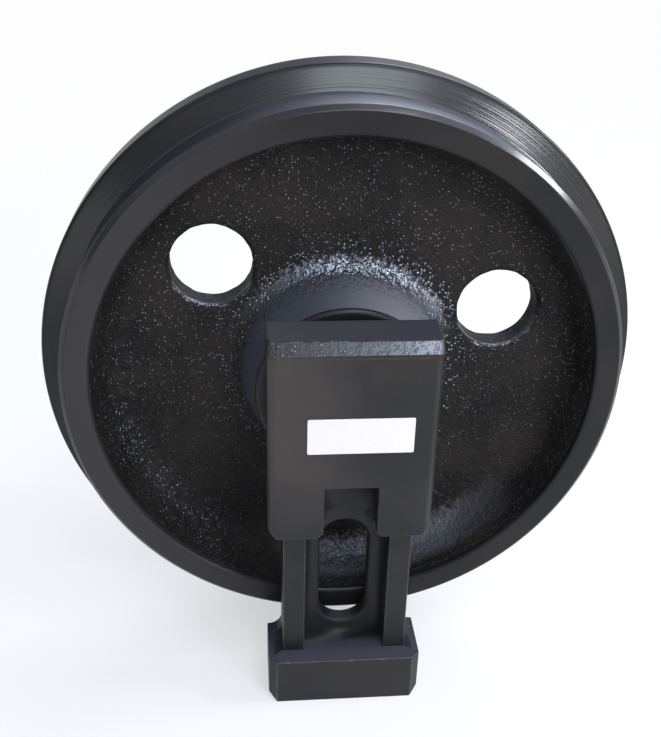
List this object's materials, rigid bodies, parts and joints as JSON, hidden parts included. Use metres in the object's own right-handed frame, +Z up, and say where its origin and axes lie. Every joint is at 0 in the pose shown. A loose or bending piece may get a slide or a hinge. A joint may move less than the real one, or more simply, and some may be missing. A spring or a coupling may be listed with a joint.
{
  "type": "excavator front idler",
  "caption": "Black front idler of a tracked excavator: a flanged wheel with a holed web, running on a sealed shaft held by two sliding bracket castings.",
  "frame": {"origin": "on the standing surface, midway between the two end blocks, under the shaft axis", "axes": "+Z up, the shaft lies along Y, the near bracket is on -Y"},
  "size_m": [0.4399, 0.219, 0.465],
  "materials": {
    "wheel_paint": "semi-gloss black paint over sand-cast and turned steel",
    "bracket_paint": "satin black paint over cast steel",
    "ground_steel": "ground",
    "spring_steel": "oil-blackened",
    "bronze": "turned",
    "seal_iron": "lapped",
    "black_rubber": "moulded",
    "plug_steel": "zinc-plated",
    "copper": "soft annealed"
  },
  "bodies": {
    "root": {"bracket_near": "bracket_paint", "bracket_far": "bracket_paint", "shaft": "ground_steel", "lock_pin_near": "ground_steel", "lock_pin_far": "ground_steel", "pin_circlip_near": "spring_steel", "pin_circlip_far": "spring_steel", "bracket_seal_ring_near": "seal_iron", "bracket_seal_ring_far": "seal_iron", "bracket_toric_near": "black_rubber", "bracket_toric_far": "black_rubber", "shaft_o_ring_near": "black_rubber", "shaft_o_ring_far": "black_rubber", "oil_plug": "plug_steel", "plug_washer": "copper"},
    "wheel": {"idler_wheel": "wheel_paint", "bush_near": "bronze", "bush_far": "bronze", "wheel_seal_ring_near": "seal_iron", "wheel_seal_ring_far": "seal_iron", "wheel_toric_near": "black_rubber", "wheel_toric_far": "black_rubber"}
  },
  "joints": [
    {"name": "wheel_spin", "type": "hinge", "parent": "root", "child": "wheel", "pos_m": [0, 0, 0.245], "axis": [0, 1, 0], "continuous": true}
  ]
}
